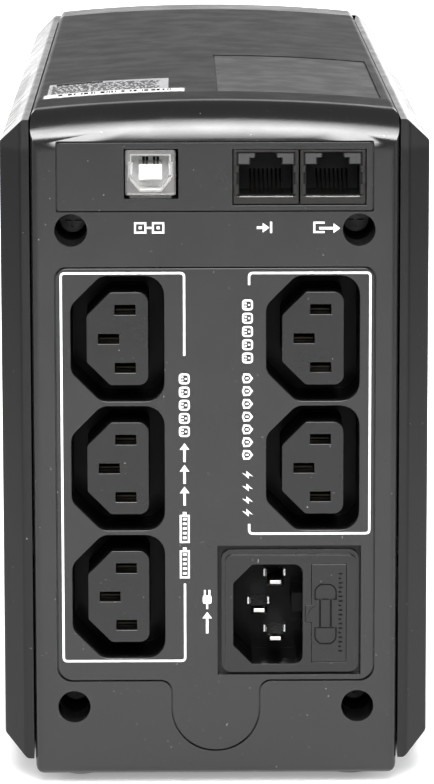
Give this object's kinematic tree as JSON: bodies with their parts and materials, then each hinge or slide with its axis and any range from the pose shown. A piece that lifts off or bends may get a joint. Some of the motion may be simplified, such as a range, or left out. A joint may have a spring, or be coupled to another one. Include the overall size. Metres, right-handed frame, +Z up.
{
  "type": "uninterruptible power supply",
  "caption": "Small tower uninterruptible power supply with rear outlets, a fused mains inlet, data sockets, a display, a power button and a battery behind an underside door.",
  "frame": {"origin": "on the floor under the middle of the case, at the bottom of the rubber feet", "axes": "+Z up, -Y towards the rear face with the sockets, +X to the right when looking at the rear face"},
  "size_m": [0.1024, 0.28, 0.1661],
  "materials": {
    "case_plastic": "fine matte moulded texture",
    "cover_plastic": "fine satin moulded texture",
    "plate_plastic": "matte",
    "bezel_plastic": "satin",
    "socket_plastic": "satin moulded",
    "button_plastic": "gloss",
    "window_plastic": "dark gloss lens",
    "light_plastic": "translucent",
    "display": "display",
    "insulator_white": "satin",
    "insert_grey": "satin",
    "shield_metal": "dull tinned",
    "bright_metal": "nickel plated",
    "brass": "plain",
    "fuse_glass": "clear",
    "circuit_board": "solder resist",
    "chip_plastic": "matte",
    "capacitor_sleeve": "shrink sleeve",
    "aluminium": "extruded",
    "core_steel": "varnished laminations",
    "winding": "enamelled copper",
    "zinc_steel": "zinc plated",
    "black_steel": "black oxide",
    "battery_plastic": "moulded",
    "boot_red": "soft vinyl",
    "wire_red": "vinyl",
    "wire_black": "vinyl",
    "wire_brown": "vinyl",
    "wire_blue": "vinyl",
    "wire_green": "vinyl",
    "wire_yellow": "vinyl",
    "wire_grey": "vinyl",
    "foot_rubber": "matte",
    "label_silver": "printed film",
    "label_grey": "printed film"
  },
  "bodies": {
    "case": {"base_tray": "case_plastic", "upper_case": "case_plastic", "rear_panel": "case_plastic", "side_cover_left": "cover_plastic", "side_cover_right": "cover_plastic", "front_bezel": "bezel_plastic", "display_window": "window_plastic", "display_module": "display", "front_board": "circuit_board", "button_switch": "chip_plastic", "button_spring": "bright_metal", "status_light": "light_plastic", "io_plate": "plate_plastic", "outlet_plate": "plate_plastic", "battery_outlets": "socket_plastic", "surge_outlets": "socket_plastic", "outlet_contacts": "brass", "inlet_body": "socket_plastic", "inlet_pins": "bright_metal", "usb_shell": "bright_metal", "usb_insulator": "insulator_white", "usb_contacts": "brass", "line_jack_in": "shield_metal", "line_jack_out": "shield_metal", "jack_inserts": "insert_grey", "jack_contacts": "brass", "io_board": "circuit_board", "main_board": "circuit_board", "heat_sinks": "aluminium", "power_transistors": "chip_plastic", "capacitors": "capacitor_sleeve", "relays": "chip_plastic", "buzzer": "chip_plastic", "board_screws": "zinc_steel", "transformer_core": "core_steel", "transformer_winding": "winding", "transformer_bracket": "zinc_steel", "transformer_bolts": "zinc_steel", "battery_case": "battery_plastic", "battery_lid": "battery_plastic", "battery_terminals": "bright_metal", "terminal_boots": "boot_red", "battery_lead_red": "wire_red", "battery_lead_black": "wire_black", "live_wires": "wire_brown", "neutral_wires": "wire_blue", "earth_wires": "wire_green", "transformer_leads": "wire_yellow", "panel_cable": "wire_grey", "feet": "foot_rubber", "rear_screws": "black_steel", "base_screws": "zinc_steel", "barcode_label": "label_silver", "rating_label": "label_grey"},
    "door": {"battery_door": "case_plastic"},
    "button": {"power_button": "button_plastic"},
    "drawer": {"fuse_drawer": "socket_plastic", "fuse_tubes": "fuse_glass", "fuse_caps": "bright_metal"}
  },
  "joints": [
    {"name": "door_slide", "type": "slide", "parent": "case", "child": "door", "axis": [0, 1, 0], "range_m": [0, 0.012]},
    {"name": "button_press", "type": "slide", "parent": "case", "child": "button", "axis": [0, -1, 0], "range_m": [0, 0.0012], "stiffness_N_per_m": 800},
    {"name": "drawer_pull", "type": "slide", "parent": "case", "child": "drawer", "axis": [0, -1, 0], "range_m": [0, 0.022]}
  ]
}
